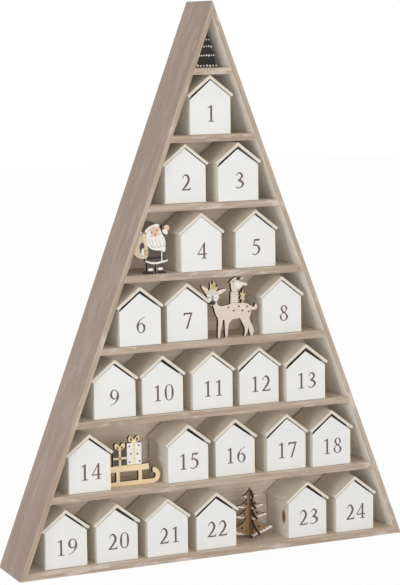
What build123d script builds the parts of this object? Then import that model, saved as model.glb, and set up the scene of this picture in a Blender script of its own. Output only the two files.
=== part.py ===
from build123d import *
import math
import os

# Wooden advent calendar: a fir-tree shaped shelf that holds loose little houses, each with a drawer.
# Lengths are in millimetres. X runs to the right, Y to the back and Z up. The origin is the middle
# of the rectangle that the calendar stands on.

# Little house
HOUSE_WIDTH = 47.4  # outside of the side walls, and width of the painted front
SHOULDER_HEIGHT = 39.3  # shelf to the front's shoulders
GABLE_RISE = 18.4  # shoulders to the front's peak
HOUSE_DEPTH = 54.0  # roof's front edge to the back wall's outer face
WALL_THICKNESS = 3.0
ROOF_THICKNESS = 3.0
ROOF_GAP = 1.3  # air between the roof boards and the front's sloping edges
EAVES_REACH = 1.4  # roof's underside past the side walls
FRONT_RECESS = 0.6  # painted front behind the roof's front edge

# Drawer of a house
FRONT_THICKNESS = 3.4
FRONT_LIFT = 0.4  # painted front above the shelf
DRAWER_WALL = 2.5
DRAWER_SIDE_HEIGHT = 28.0
DRAWER_SIDE_GAP = 0.5  # drawer to each side wall
DRAWER_FLOOR_GAP = 0.3  # drawer above the house's floor
DRAWER_STOP_GAP = 0.3  # closed front to the side walls' ends
DRAWER_BACK_GAP = 0.8  # closed drawer to the back wall

# Tree-shaped shelf
SIDE_THICKNESS = 6.0
SHELF_THICKNESS = 7.0
BASE_THICKNESS = 7.0
BACK_THICKNESS = 3.0
HEADROOM = 0.6  # air above the house in the top row
ROW_GROWTH = 1.34  # each row is this much taller than the row above it
HOUSE_GAP = 3.6  # usual air between two roofs
SIDE_ROOM = 4.4  # outermost roofs of the bottom row to the side panels
DEPTH_ROOM = 10.0  # spare depth before and behind a house

# Nails of the back panel
NAIL_RADIUS = 0.7
NAIL_LENGTH = 14.0  # from under the head
NAIL_HEAD_RADIUS = 1.5
NAIL_HEAD_THICKNESS = 0.8
NAIL_CLEARANCE = 0.05

# Flat ornaments, cut from one sheet
ORNAMENT_THICKNESS = 4.0
TOP_TREE_HEIGHT = 40.5
TOP_TREE_WIDTH = 28.0
TOP_TREE_ROOM = 0.5  # least air between the top tree and the side panels
SANTA_HEIGHT = 57.5
SANTA_WIDTH = 36.4  # without the sack
REINDEER_HEIGHT = 62.4  # hooves to the antlers' tips
REINDEER_LENGTH = 57.0  # muzzle to tail
SLEDGE_HEIGHT = 22.5  # runners to the seat's top
SLEDGE_LENGTH = 57.5
SLEDGE_RUNNER = 5.3  # height of the runner's rail
SLEDGE_SEAT = 6.8  # height of the seat's rail
SLEDGE_POST = 4.4
DARK_PARCEL_WIDTH = 15.8
DARK_PARCEL_HEIGHT = 17.6
PALE_PARCEL_WIDTH = 17.2
PALE_PARCEL_HEIGHT = 24.0
BOW_HEIGHT = 8.0
FIR_HEIGHT = 57.5
FIR_WIDTH = 54.0
FIR_THICKNESS = 3.0
FIR_ROOM = 4.0  # least air before and behind the fir tree, together
FIR_TURN = 4.0  # degrees from the shelf's front
FIR_SLOT_GAP = 0.15  # each side of a board in the other board's slot

# Rows from the top: what stands in each, and how its spare width is shared out from left to right
rows = (
    ("01",),
    ("02", "03"),
    ("santa_figure", "04", "05"),
    ("06", "07", "reindeer", "08"),
    ("09", "10", "11", "12", "13"),
    ("14", "sledge", "15", "16", "17", "18"),
    ("19", "20", "21", "22", "fir_tree", "23", "24"),
)
row_gap_shares = (
    (2, 7),
    (1, 6, 3),
    (2, 19, 25, 18),
    (2, 6, 2, 13, 12),
    (1, 2, 5, 3, 1, 9),
    (1, 5, 5, 5, 9, 1, 5),
    (6, 8, 8, 10, 4, 18, 10, 8),
)
# How far each house stands back, as a share of the spare depth
setback_shares = (
    0.24, 0.57, 0.05, 0.10, 0.49, 0.05, 0.50, 0.68,
    0.41, 0.55, 0.43, 0.59, 0.05, 0.53, 0.44, 0.90,
    0.67, 0.34, 0.70, 0.61, 0.38, 0.59, 0.73, 0.53,
)
# How far each ornament stands back, as a share of the shelf's inner depth
ornament_setback_shares = {
    "top_tree": 0.31,
    "santa_figure": 0.14,
    "reindeer": 0.16,
    "sledge": 0.28,
    "fir_tree": 0.50,
}

# Outlines of the flat ornaments, from the middle of the foot, as shares of the ornament's own
# width and height. A round part is its middle and its radius, as a share of the height.
top_tree_shares = (
    (0.50, 0.00), (0.30, 0.30), (0.41, 0.30), (0.215, 0.545), (0.31, 0.545),
    (0.145, 0.73), (0.215, 0.73), (0.00, 1.00),
)
fir_shares = (
    (0.05, 0.00), (0.05, 0.07), (0.26, 0.08), (0.47, 0.165), (0.50, 0.20), (0.315, 0.24),
    (0.165, 0.315), (0.08, 0.42), (0.205, 0.405), (0.36, 0.44), (0.38, 0.465), (0.23, 0.49),
    (0.14, 0.54), (0.08, 0.61), (0.165, 0.605), (0.28, 0.635), (0.295, 0.655), (0.185, 0.68),
    (0.11, 0.725), (0.07, 0.79), (0.15, 0.825), (0.155, 0.84), (0.09, 0.885), (0.04, 0.94),
    (0.00, 1.00),
)
bow_shares = (
    (0.00, 0.00), (0.14, 0.00), (0.36, 0.22), (0.40, 0.60), (0.30, 0.95), (0.16, 0.88), (0.00, 0.45),
)
santa_piece_shares = {
    "hat": (
        (-0.43, 0.79), (-0.30, 0.77), (-0.25, 0.78), (-0.12, 0.85), (0.14, 0.87),
        (0.13, 0.91), (0.03, 0.94), (-0.07, 0.97), (-0.22, 1.00), (-0.36, 1.00),
    ),
    "coat": (
        (-0.32, 0.27), (-0.30, 0.23), (-0.14, 0.19), (0.05, 0.18), (0.25, 0.20), (0.41, 0.22),
        (0.40, 0.26), (0.30, 0.34), (0.29, 0.45), (-0.22, 0.57), (-0.22, 0.35),
    ),
    "raised arm": (
        (0.16, 0.66), (0.33, 0.66), (0.41, 0.73), (0.33, 0.90), (0.24, 0.87), (0.22, 0.76),
    ),
    "left leg": (
        (-0.36, 0.00), (-0.05, 0.00), (-0.05, 0.05), (-0.06, 0.21),
        (-0.25, 0.21), (-0.25, 0.05), (-0.36, 0.04),
    ),
    "right leg": (
        (0.04, 0.00), (0.36, 0.00), (0.35, 0.05), (0.26, 0.06), (0.26, 0.21), (0.05, 0.21),
    ),
}
santa_curve_shares = {
    "beard": (
        (-0.25, 0.80), (-0.27, 0.66), (-0.24, 0.54), (-0.11, 0.45), (0.08, 0.43), (0.22, 0.42),
        (0.30, 0.39), (0.34, 0.50), (0.32, 0.64), (0.23, 0.75), (0.00, 0.82),
    ),
    "sack": (
        (-0.22, 0.73), (-0.36, 0.76), (-0.48, 0.70), (-0.58, 0.57), (-0.67, 0.45),
        (-0.63, 0.36), (-0.51, 0.31), (-0.33, 0.29), (-0.20, 0.32), (-0.16, 0.52),
    ),
}
santa_round_shares = {
    "head": (-0.01, 0.77, 0.14),
    "hand": (0.38, 0.84, 0.06),
    "pompom": (-0.45, 0.77, 0.036),
}
reindeer_piece_shares = {
    "first leg": (
        (-0.35, 0.00), (-0.30, 0.00), (-0.27, 0.16), (-0.23, 0.32), (-0.23, 0.38), (-0.35, 0.38),
        (-0.34, 0.30),
    ),
    "second leg": (
        (-0.19, 0.00), (-0.14, 0.00), (-0.13, 0.13), (-0.11, 0.23), (-0.05, 0.30), (0.00, 0.32),
        (-0.21, 0.35),
    ),
    "third leg": (
        (0.20, 0.00), (0.24, 0.00), (0.28, 0.07), (0.30, 0.14), (0.33, 0.30), (0.11, 0.34),
        (0.13, 0.30), (0.18, 0.22), (0.22, 0.14), (0.22, 0.06),
    ),
    "fourth leg": (
        (0.34, 0.00), (0.39, 0.00), (0.41, 0.06), (0.41, 0.13), (0.38, 0.19), (0.34, 0.26),
        (0.32, 0.32), (0.25, 0.32), (0.30, 0.14), (0.32, 0.06),
    ),
    "antlers": (
        (-0.53, 0.83), (-0.36, 0.83), (-0.34, 0.93), (-0.38, 0.89), (-0.39, 0.96), (-0.42, 1.00),
        (-0.44, 0.99), (-0.45, 0.92), (-0.47, 0.97), (-0.50, 0.98), (-0.50, 0.88),
    ),
    "parcels": ((-0.08, 0.56), (0.09, 0.56), (0.09, 0.80), (-0.07, 0.80)),
    "bird's beak": ((-0.06, 0.94), (-0.06, 0.99), (-0.11, 0.96)),
    "bird's cap": ((0.06, 0.95), (0.15, 1.00), (0.15, 1.04), (0.04, 1.05), (-0.05, 1.01)),
    "bird's wing": (
        (0.10, 0.865), (0.20, 0.885), (0.285, 0.90), (0.29, 0.915), (0.18, 0.95), (0.10, 0.96),
    ),
    "twig": (
        (0.16, 0.57), (0.19, 0.57), (0.20, 0.63), (0.24, 0.65), (0.22, 0.68), (0.20, 0.68),
        (0.24, 0.73), (0.22, 0.76), (0.20, 0.75), (0.20, 0.83), (0.17, 0.82), (0.17, 0.76),
        (0.13, 0.78), (0.13, 0.73), (0.16, 0.71), (0.12, 0.69), (0.14, 0.65), (0.16, 0.65),
    ),
}
reindeer_curve_shares = {
    "body": (
        (-0.44, 0.57), (-0.40, 0.45), (-0.33, 0.34), (-0.21, 0.31), (0.00, 0.31), (0.14, 0.31),
        (0.26, 0.27), (0.32, 0.32), (0.36, 0.43), (0.35, 0.51), (0.28, 0.57), (0.17, 0.59),
        (0.03, 0.59), (-0.10, 0.58), (-0.23, 0.56), (-0.33, 0.58), (-0.37, 0.64), (-0.42, 0.66),
    ),
    "tail": (
        (0.36, 0.46), (0.44, 0.45), (0.48, 0.47), (0.48, 0.53), (0.46, 0.56),
        (0.44, 0.55), (0.43, 0.51), (0.39, 0.51), (0.33, 0.54),
    ),
    "head": (
        (-0.46, 0.57), (-0.39, 0.60), (-0.34, 0.66), (-0.31, 0.74), (-0.35, 0.78), (-0.37, 0.84),
        (-0.46, 0.87), (-0.54, 0.84), (-0.58, 0.78), (-0.55, 0.71), (-0.52, 0.65), (-0.50, 0.59),
    ),
    "left ear": (
        (-0.55, 0.82), (-0.54, 0.87), (-0.62, 0.92), (-0.68, 0.94), (-0.67, 0.90), (-0.63, 0.84),
        (-0.58, 0.79),
    ),
    "right ear": (
        (-0.37, 0.78), (-0.32, 0.76), (-0.23, 0.79), (-0.16, 0.85), (-0.20, 0.86), (-0.27, 0.85),
        (-0.34, 0.83),
    ),
    "bird": (
        (-0.03, 0.80), (0.03, 0.79), (0.11, 0.82), (0.16, 0.86), (0.18, 0.91), (0.14, 0.97),
        (0.07, 0.98), (0.04, 1.01), (-0.01, 1.02), (-0.06, 1.00), (-0.07, 0.92), (-0.06, 0.85),
    ),
}
reindeer_round_shares = {"pompom of the bird's cap": (0.17, 1.02, 0.026)}
figures = {
    "santa_figure": {
        "size": (SANTA_WIDTH, SANTA_HEIGHT),
        "pieces": santa_piece_shares,
        "curves": santa_curve_shares,
        "rounds": santa_round_shares,
    },
    "reindeer": {
        "size": (REINDEER_LENGTH, REINDEER_HEIGHT),
        "pieces": reindeer_piece_shares,
        "curves": reindeer_curve_shares,
        "rounds": reindeer_round_shares,
    },
}
sledge_post_shares = (-0.35, 0.095)
sledge_seat_end_share = 0.275
sledge_curl_share = 0.39  # outer radius of the runner's curl, of the sledge's height
parcel_start_share = 0.055  # from the seat's left end
parcels_height = max(DARK_PARCEL_HEIGHT, PALE_PARCEL_HEIGHT) + BOW_HEIGHT

# Roof of a house
roof_pitch = math.atan2(GABLE_RISE, HOUSE_WIDTH / 2)
roof_slope = math.tan(roof_pitch)
ridge_underside = SHOULDER_HEIGHT + GABLE_RISE + ROOF_GAP / math.cos(roof_pitch)
house_height = ridge_underside + ROOF_THICKNESS / math.cos(roof_pitch)
eaves_half = HOUSE_WIDTH / 2 + EAVES_REACH
roof_half_span = eaves_half + ROOF_THICKNESS * math.sin(roof_pitch)
roof_span = 2 * roof_half_span
eaves_height = ridge_underside - eaves_half * roof_slope
eaves_corner_height = eaves_height + ROOF_THICKNESS * math.cos(roof_pitch)

# Depths of the shelf
inner_depth = max(HOUSE_DEPTH + DEPTH_ROOM, FIR_WIDTH + FIR_ROOM)
tree_depth = inner_depth + BACK_THICKNESS
front_y = -tree_depth / 2
panel_y = front_y + inner_depth
back_y = tree_depth / 2


# Outlines of what stands in the rows, from the middle of its foot
def scaled(shares, width, height):
    return [(across * width, up * height) for across, up in shares]


def round_points(x, z, radius):
    turns = [math.radians(degrees) for degrees in range(0, 360, 15)]
    return [(x + radius * math.cos(turn), z + radius * math.sin(turn)) for turn in turns]


def figure_points(name):
    shape = figures[name]
    width, height = shape["size"]
    points = []
    for shares in (*shape["pieces"].values(), *shape["curves"].values()):
        points += scaled(shares, width, height)
    for across, up, radius in shape["rounds"].values():
        points += round_points(across * width, up * height, radius * height)
    return points


def corner_points(half, corner_height, height):
    return [(-half, corner_height), (half, corner_height), (0, height)]


def outline_points(name):
    if name in figures:
        return figure_points(name)
    if name == "sledge":
        return corner_points(SLEDGE_LENGTH / 2, 0, SLEDGE_HEIGHT + parcels_height)
    if name == "fir_tree":
        right = scaled(fir_shares, FIR_WIDTH, FIR_HEIGHT)
        return right + [(-x, z) for x, z in right]
    return corner_points(roof_half_span, eaves_corner_height, house_height)


def house_half(z):
    """Half of a house's width at a height above its shelf."""
    if z < eaves_height:
        return HOUSE_WIDTH / 2
    return min(roof_half_span, (house_height - z) / roof_slope)


def spacing(left, right):
    """Least distance between the middles of two neighbours, of which one at least is a house."""
    if left in ornament_setback_shares:
        return max(house_half(z) + x for x, z in outline_points(left))
    return max(house_half(z) - x for x, z in outline_points(right))


# Heights and slant of the shelf: each row is one roof wider than the row above it
row_count = len(rows)
house_pitch = roof_span + HOUSE_GAP


def row_height(row):
    houses = house_height + ROW_GROWTH * row
    tallest = max(z for name in rows[row] for _, z in outline_points(name))
    return max(houses, tallest) + HEADROOM


floors = [BASE_THICKNESS]
for row in reversed(range(row_count)):
    floors.insert(0, floors[0] + row_height(row) + SHELF_THICKNESS)
top_floor, *row_floors = floors
side_slope = (row_count - 1) * house_pitch / 2 / (row_floors[0] - row_floors[-1])
side_angle = math.atan(side_slope)
bottom_row_half = (row_count * house_pitch - HOUSE_GAP) / 2 + SIDE_ROOM
bottom_row_apex = row_floors[-1] + eaves_corner_height + bottom_row_half / side_slope
top_tree_points = scaled(top_tree_shares, TOP_TREE_WIDTH, TOP_TREE_HEIGHT)
top_tree_apex = top_floor + max(z + (x + TOP_TREE_ROOM) / side_slope for x, z in top_tree_points)
inner_apex = max(bottom_row_apex, top_tree_apex)
outer_apex = inner_apex + SIDE_THICKNESS / math.sin(side_angle)


def inner_half(z):
    """Half of the room between the side panels at a height."""
    return (inner_apex - z) * side_slope


def outer_half(z):
    """Half of the tree's outside width at a height."""
    return (outer_apex - z) * side_slope


def row_places():
    """Middle and floor of everything that stands on a shelf."""
    found = {"top_tree": (0, top_floor)}
    for names, shares, floor in zip(rows, row_gap_shares, row_floors):
        first, last = outline_points(names[0]), outline_points(names[-1])
        left = max(-inner_half(floor + z) - x for x, z in first)
        right = min(inner_half(floor + z) - x for x, z in last)
        steps = [spacing(a, b) for a, b in zip(names, names[1:])]
        spare = right - left - sum(steps)
        x = left
        for name, step, share in zip(names, [0, *steps], shares):
            x += step + spare * share / sum(shares)
            found[name] = (x, floor)
    return found


places = row_places()
house_numbers = [name for names in rows for name in names if name.isdigit()]


def plate(outline, front, back):
    """Solid between two depths from an outline drawn in the X-Z plane."""
    return extrude(Plane.XZ.offset(-back) * outline, amount=back - front, dir=(0, -1, 0))


def board(points, front, back):
    return plate(Polygon(*points, align=None), front, back)


def block(left, right, bottom, top, front, back):
    points = ((left, bottom), (right, bottom), (right, top), (left, top))
    return board(points, front, back)


def peg(x, z, radius, front, back):
    """Round rod along Y."""
    return plate(Pos(x, z) * Circle(radius), front, back)


def mirrored(points):
    """Points on the other side of the middle plane, in the same turning sense."""
    return [(-x, z) for x, z in reversed(points)]


# Shelf boards
def side_panel_points():
    return [
        (-outer_half(0), 0),
        (0, outer_apex),
        (0, inner_apex),
        (-inner_half(0), 0),
    ]


def shelf_board(top, thickness):
    bottom = top - thickness
    points = (
        (-inner_half(bottom), bottom),
        (inner_half(bottom), bottom),
        (inner_half(top), top),
        (-inner_half(top), top),
    )
    return board(points, front_y, panel_y)


# Nails along the back edges of every board
shelf_nail_shares = (-0.62, 0.62)
base_nail_shares = (-0.85, -0.3, 0.3, 0.85)


def nail_places():
    found = []
    for floor in floors[:-1]:
        z = floor - SHELF_THICKNESS / 2
        found += [(share * inner_half(z), z) for share in shelf_nail_shares]
    z = BASE_THICKNESS / 2
    found += [(share * inner_half(z), z) for share in base_nail_shares]
    for low, high in zip(floors[1:], floors):
        z = (low + high - SHELF_THICKNESS) / 2
        x = (inner_half(z) + outer_half(z)) / 2
        found += [(-x, z), (x, z)]
    return found


def nail(x, z):
    shoulder = back_y - NAIL_HEAD_THICKNESS
    shank = peg(x, z, NAIL_RADIUS, shoulder - NAIL_LENGTH, shoulder)
    return shank + peg(x, z, NAIL_HEAD_RADIUS, shoulder, back_y)


def nail_hole(x, z):
    shoulder = back_y - NAIL_HEAD_THICKNESS
    end = shoulder - NAIL_LENGTH - NAIL_CLEARANCE
    bore = peg(x, z, NAIL_RADIUS + NAIL_CLEARANCE, end, shoulder)
    return bore + peg(x, z, NAIL_HEAD_RADIUS + NAIL_CLEARANCE, shoulder, back_y)


def bored(solid, nails):
    """Board with the holes of the nails that reach it."""
    box = solid.bounding_box()
    for x, z in nails:
        if box.min.X < x < box.max.X and box.min.Z < z < box.max.Z:
            solid = solid - nail_hole(x, z)
    return solid


# House shell: floor, two side walls, back wall and two roof boards
def roof_underside(x):
    return ridge_underside - abs(x) * roof_slope


def house_shell(x, floor, front):
    wall_out = HOUSE_WIDTH / 2
    wall_in = wall_out - WALL_THICKNESS
    walls_front = front + FRONT_RECESS + FRONT_THICKNESS + DRAWER_STOP_GAP
    back = front + HOUSE_DEPTH
    wall = [
        (wall_in, 0),
        (wall_out, 0),
        (wall_out, roof_underside(wall_out)),
        (wall_in, roof_underside(wall_in)),
    ]
    gable = [
        (-wall_in, WALL_THICKNESS),
        (wall_in, WALL_THICKNESS),
        (wall_in, roof_underside(wall_in)),
        (0, ridge_underside),
        (-wall_in, roof_underside(wall_in)),
    ]
    roof = [
        (0, ridge_underside),
        (eaves_half, roof_underside(eaves_half)),
        (roof_half_span, eaves_corner_height),
        (0, house_height),
    ]
    solids = [
        block(-wall_in, wall_in, 0, WALL_THICKNESS, walls_front, back),
        board(wall, walls_front, back),
        board(mirrored(wall), walls_front, back),
        board(gable, back - WALL_THICKNESS, back),
        board(roof, front, back),
        board(mirrored(roof), front, back),
    ]
    return [Pos(x, 0, floor) * solid for solid in solids]


# Drawer: painted front, two sides, back and floor
drawer_half = HOUSE_WIDTH / 2 - WALL_THICKNESS - DRAWER_SIDE_GAP
drawer_inner_half = drawer_half - DRAWER_WALL
drawer_bottom = WALL_THICKNESS + DRAWER_FLOOR_GAP
drawer_top = drawer_bottom + DRAWER_SIDE_HEIGHT
drawer_box_start = FRONT_RECESS + FRONT_THICKNESS
drawer_box_end = HOUSE_DEPTH - WALL_THICKNESS - DRAWER_BACK_GAP


def house_drawer(x, floor, front):
    half = HOUSE_WIDTH / 2
    start = front + drawer_box_start
    end = front + drawer_box_end
    face = [
        (-half, FRONT_LIFT),
        (half, FRONT_LIFT),
        (half, SHOULDER_HEIGHT),
        (0, SHOULDER_HEIGHT + GABLE_RISE),
        (-half, SHOULDER_HEIGHT),
    ]
    inner = drawer_inner_half
    tray = drawer_bottom + DRAWER_WALL
    solids = [
        board(face, front + FRONT_RECESS, start),
        block(-drawer_half, -inner, drawer_bottom, drawer_top, start, end),
        block(inner, drawer_half, drawer_bottom, drawer_top, start, end),
        block(-inner, inner, drawer_bottom, drawer_top, end - DRAWER_WALL, end),
        block(-inner, inner, drawer_bottom, tray, start, end - DRAWER_WALL),
    ]
    return [Pos(x, 0, floor) * solid for solid in solids]


def house_front(number):
    return front_y + DEPTH_ROOM * setback_shares[int(number) - 1]


# Flat ornaments
def standing(name, outlines):
    """Cut-outs on their shelf, one solid for each outline."""
    x, floor = places[name]
    front = front_y + inner_depth * ornament_setback_shares[name]
    cuts = [plate(outline, front, front + ORNAMENT_THICKNESS) for outline in outlines]
    return [Pos(x, 0, floor) * cut for cut in cuts]


def cut_out(shares, width, height):
    return Polygon(*scaled(shares, width, height), align=None)


def smooth_cut_out(shares, width, height):
    return make_face(Spline(*scaled(shares, width, height), periodic=True))


def figure(name):
    """Outline of a figure: its round and curved parts and the pieces that join them."""
    shape = figures[name]
    width, height = shape["size"]
    outline = Sketch()
    for across, up, radius in shape["rounds"].values():
        outline += Pos(across * width, up * height) * Circle(radius * height)
    for shares in shape["curves"].values():
        outline += smooth_cut_out(shares, width, height)
    for shares in shape["pieces"].values():
        outline += cut_out(shares, width, height)
    return outline


def top_tree():
    left = mirrored(top_tree_points[:-1])
    return Polygon(*top_tree_points, *left, align=None)


def sledge():
    """Runner with a curled tip, two posts and the seat."""
    left = -SLEDGE_LENGTH / 2
    curl = sledge_curl_share * SLEDGE_HEIGHT
    curl_x = SLEDGE_LENGTH / 2 - curl
    ring = Pos(curl_x, curl) * (Circle(curl) - Circle(curl - SLEDGE_RUNNER))
    open_half = Pos(curl_x - curl / 2, curl + curl / 4) * Rectangle(curl, 1.5 * curl)
    outline = ring - open_half
    outline += cut_out(((0, 0), (1, 0), (1, 1), (0, 1)), curl_x - left, SLEDGE_RUNNER).moved(Pos(left, 0))
    seat_length = sledge_seat_end_share * SLEDGE_LENGTH - left
    seat = cut_out(((0, 0), (1, 0), (1, 1), (0, 1)), seat_length, SLEDGE_SEAT)
    outline += seat.moved(Pos(left, SLEDGE_HEIGHT - SLEDGE_SEAT))
    for share in sledge_post_shares:
        outline += Pos(share * SLEDGE_LENGTH, SLEDGE_HEIGHT / 2) * Rectangle(SLEDGE_POST, SLEDGE_HEIGHT)
    return outline


def parcel(left, width, height):
    """Parcel with its bow, standing on the sledge's seat."""
    middle = left + width / 2
    outline = Pos(middle, SLEDGE_HEIGHT + height / 2) * Rectangle(width, height)
    loop = scaled(bow_shares, width, BOW_HEIGHT)
    for points in (loop, mirrored(loop)):
        outline += Polygon(*points, align=None).moved(Pos(middle, SLEDGE_HEIGHT + height))
    return outline


def parcels():
    left = (parcel_start_share - 1 / 2) * SLEDGE_LENGTH
    dark = parcel(left, DARK_PARCEL_WIDTH, DARK_PARCEL_HEIGHT)
    pale = parcel(left + DARK_PARCEL_WIDTH, PALE_PARCEL_WIDTH, PALE_PARCEL_HEIGHT)
    return [dark, pale]


def fir_tree():
    """Two upright boards that cross, each with a slot for the other."""
    right = scaled(fir_shares, FIR_WIDTH, FIR_HEIGHT)
    left = mirrored(right[:-1])
    half_board = FIR_THICKNESS / 2
    whole = plate(Polygon(*right, *left, align=None), -half_board, half_board)
    slot_half = half_board + FIR_SLOT_GAP
    low_slot = block(-slot_half, slot_half, 0, FIR_HEIGHT / 2, -half_board, half_board)
    high_slot = block(-slot_half, slot_half, FIR_HEIGHT / 2, FIR_HEIGHT, -half_board, half_board)
    x, floor = places["fir_tree"]
    middle = front_y + inner_depth * ornament_setback_shares["fir_tree"]
    spot = Pos(x, middle, floor)
    across = spot * Rot(0, 0, -FIR_TURN) * (whole - low_slot)
    along = spot * Rot(0, 0, 90 - FIR_TURN) * (whole - high_slot)
    return [across, along]


def all_nodes():
    nails = nail_places()
    side = board(side_panel_points(), front_y, panel_y)
    other_side = board(mirrored(side_panel_points()), front_y, panel_y)
    back_points = ((-outer_half(0), 0), (outer_half(0), 0), (0, outer_apex))
    shelves = [shelf_board(floor, SHELF_THICKNESS) for floor in floors[:-1]]
    nodes = {
        "left_side_panel": [bored(side, nails)],
        "right_side_panel": [bored(other_side, nails)],
        "base_board": [bored(shelf_board(BASE_THICKNESS, BASE_THICKNESS), nails)],
        "back_panel": [bored(board(back_points, panel_y, back_y), nails)],
        "shelves": [bored(shelf, nails) for shelf in shelves],
        "back_panel_nails": [nail(x, z) for x, z in nails],
        "top_tree": standing("top_tree", [top_tree()]),
        "santa_figure": standing("santa_figure", [figure("santa_figure")]),
        "reindeer": standing("reindeer", [figure("reindeer")]),
        "sledge": standing("sledge", [sledge()]),
        "sledge_parcels": standing("sledge", parcels()),
        "fir_tree": fir_tree(),
    }
    for number in house_numbers:
        x, floor = places[number]
        front = house_front(number)
        nodes[f"house_{number}_shell"] = house_shell(x, floor, front)
        nodes[f"house_{number}_drawer"] = house_drawer(x, floor, front)
    return nodes


def save(name, solids):
    shape = solids[0] if len(solids) == 1 else Compound(children=solids)
    export_step(shape, os.path.join("parts", name + ".step"))


os.makedirs("parts", exist_ok=True)
for name, solids in all_nodes().items():
    save(name, solids)
print("outside", round(2 * outer_half(0), 1), round(tree_depth, 1), round(outer_apex, 1))
print("house", round(roof_span, 2), round(house_height, 2), "side angle", round(math.degrees(side_angle), 2))
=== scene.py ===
# %% [markdown]
# A wooden advent calendar in the shape of a fir tree. An open shelf of stained boards carries
# twenty-four loose little houses, each with a drawer behind its white front, and a few flat
# ornaments stand between them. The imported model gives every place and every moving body, so this
# lesson loads it first and builds the visible pieces around it.

# %% Load the frame
import math

import bmesh
import bpy
from mathutils import Matrix, Vector


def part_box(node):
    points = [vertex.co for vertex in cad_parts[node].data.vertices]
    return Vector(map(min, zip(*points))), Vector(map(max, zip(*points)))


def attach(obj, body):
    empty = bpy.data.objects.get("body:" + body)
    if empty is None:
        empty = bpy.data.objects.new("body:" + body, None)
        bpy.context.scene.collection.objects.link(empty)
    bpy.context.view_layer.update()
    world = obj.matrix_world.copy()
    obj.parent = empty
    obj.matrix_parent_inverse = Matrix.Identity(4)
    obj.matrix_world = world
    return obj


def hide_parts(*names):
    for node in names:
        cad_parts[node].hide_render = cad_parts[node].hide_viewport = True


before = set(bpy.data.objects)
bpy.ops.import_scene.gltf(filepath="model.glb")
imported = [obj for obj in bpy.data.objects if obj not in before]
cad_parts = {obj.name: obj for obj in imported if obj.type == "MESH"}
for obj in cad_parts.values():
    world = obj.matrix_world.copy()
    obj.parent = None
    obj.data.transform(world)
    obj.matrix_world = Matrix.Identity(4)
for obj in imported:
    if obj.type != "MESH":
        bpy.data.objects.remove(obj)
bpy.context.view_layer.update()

MM = 0.001

# %% [markdown]
# The camera stands where the photographer stood: to the left of the calendar, a little above its
# middle, far off with a long lens. Its place is given as an angle round the object, a height
# angle, a small roll and a distance. A matrix of the three axes sets all of it at once, which is
# safer than turning the camera by angles one after the other.

# %% Camera
PHOTO_HEIGHT_PX = 585
FOCAL_LENGTH_PX = 1962.4
SENSOR_MM = 36
CAMERA_TURN = math.radians(-24.307)
CAMERA_RISE = math.radians(7.551)
CAMERA_ROLL = math.radians(-0.698)
CAMERA_DISTANCE = 2134 * MM
CAMERA_TARGET = Vector((-3.39, 0, 287.18)) * MM


def placed(name, data):
    """A new object in the scene."""
    made = bpy.data.objects.new(name, data)
    bpy.context.scene.collection.objects.link(made)
    return made


away = Vector((
    math.sin(CAMERA_TURN) * math.cos(CAMERA_RISE),
    -math.cos(CAMERA_TURN) * math.cos(CAMERA_RISE),
    math.sin(CAMERA_RISE),
))
level_right = (-away).cross(Vector((0, 0, 1))).normalized()
level_up = level_right.cross(-away)
picture_right = level_right * math.cos(CAMERA_ROLL) + level_up * math.sin(CAMERA_ROLL)
picture_up = level_up * math.cos(CAMERA_ROLL) - level_right * math.sin(CAMERA_ROLL)

lens = bpy.data.cameras.new("photo_camera")
lens.sensor_width = SENSOR_MM
lens.lens = FOCAL_LENGTH_PX / PHOTO_HEIGHT_PX * SENSOR_MM
camera = placed("photo_camera", lens)
turned = Matrix((picture_right, picture_up, away)).transposed().to_4x4()
camera.matrix_world = Matrix.Translation(CAMERA_TARGET + away * CAMERA_DISTANCE) @ turned
bpy.context.scene.camera = camera
bpy.context.scene.view_settings.view_transform = "Standard"
print("lens in mm:", round(lens.lens, 2))

# %% [markdown]
# Materials are node graphs. Building them node by node hides the idea, so one small class wraps a
# socket and lets Python's operators add the Math nodes.

# %% Sockets that can be reckoned with
class Wire:
    """An output socket that +, -, * and / can work with."""

    def __init__(self, graph, socket):
        self.graph = graph
        self.socket = socket

    def reckon(self, operation, first, second):
        return self.graph.node("ShaderNodeMath", {"operation": operation}, {0: first, 1: second})

    def __add__(self, other):
        return self.reckon("ADD", self, other)

    def __sub__(self, other):
        return self.reckon("SUBTRACT", self, other)

    def __mul__(self, other):
        return self.reckon("MULTIPLY", self, other)

    def __truediv__(self, other):
        return self.reckon("DIVIDE", self, other)

    def __radd__(self, other):
        return self.reckon("ADD", other, self)

    def __rsub__(self, other):
        return self.reckon("SUBTRACT", other, self)

    def __rmul__(self, other):
        return self.reckon("MULTIPLY", other, self)

    def __rtruediv__(self, other):
        return self.reckon("DIVIDE", other, self)

    def kept(self, most=1.0):
        """The value held between 0 and a limit."""
        return self.reckon("MINIMUM", self.reckon("MAXIMUM", self, 0.0), most)

    def rise(self, start, steepness, most=1.0):
        """0 up to a start, then rising with the value, up to a limit."""
        return ((self - start) * steepness).kept(most)


# %% [markdown]
# A second class keeps a node graph and adds any other node by its type, its settings and its socket
# values. Mixes and noises come up again and again, so they are methods too. Colours are written as
# they look on a screen, 0 to 255, and the mix turns them into the linear values that shaders use.

# %% Node graphs
def tint(red, green, blue):
    """A colour as it looks on a screen, in linear values."""
    parts = [part / 255 for part in (red, green, blue)]
    return tuple(p / 12.92 if p <= 0.04045 else ((p + 0.055) / 1.055) ** 2.4 for p in parts) + (1.0,)


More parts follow.
